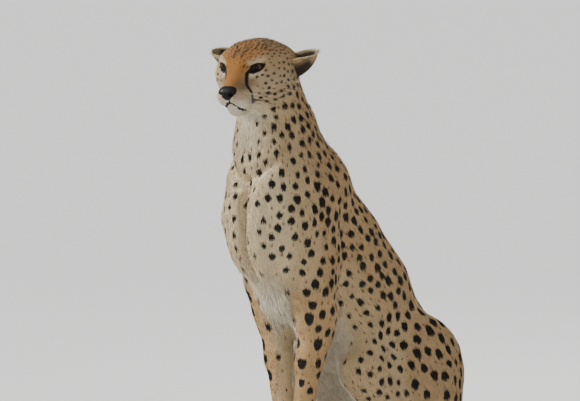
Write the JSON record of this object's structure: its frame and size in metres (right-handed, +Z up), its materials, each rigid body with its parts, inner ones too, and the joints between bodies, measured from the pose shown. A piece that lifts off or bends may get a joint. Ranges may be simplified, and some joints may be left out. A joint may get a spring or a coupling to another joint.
{
  "type": "cheetah",
  "caption": "Life-size still model of a cheetah sitting upright, its head turned a little to its left, its ears held out sideways and its tail laid round its left side.",
  "frame": {"origin": "centre of the bounding box at floor level, under the animal", "axes": "+Z up, -Y the way the body faces, +X the animal's left side"},
  "size_m": [0.43, 0.735, 1.0056],
  "materials": {
    "coat": "short dense fur, tawny with solid black spots, pale on the throat, chest and belly",
    "nose_leather": "damp black skin",
    "eye": "glossy, amber with a round pupil"
  },
  "bodies": {
    "root": {"head": "coat", "lower_jaw": "coat", "nose": "nose_leather", "ear_left": "coat", "ear_right": "coat", "eye_left": "eye", "eye_right": "eye", "neck": "coat", "chest": "coat", "loin": "coat", "rump": "coat", "upper_arm_left": "coat", "upper_arm_right": "coat", "forearm_left": "coat", "forearm_right": "coat", "forepaw_left": "coat", "forepaw_right": "coat", "thigh_left": "coat", "thigh_right": "coat", "shank_left": "coat", "shank_right": "coat", "hind_foot_left": "coat", "hind_foot_right": "coat", "tail_base": "coat", "tail_middle": "coat", "tail_tip": "coat"}
  },
  "joints": []
}
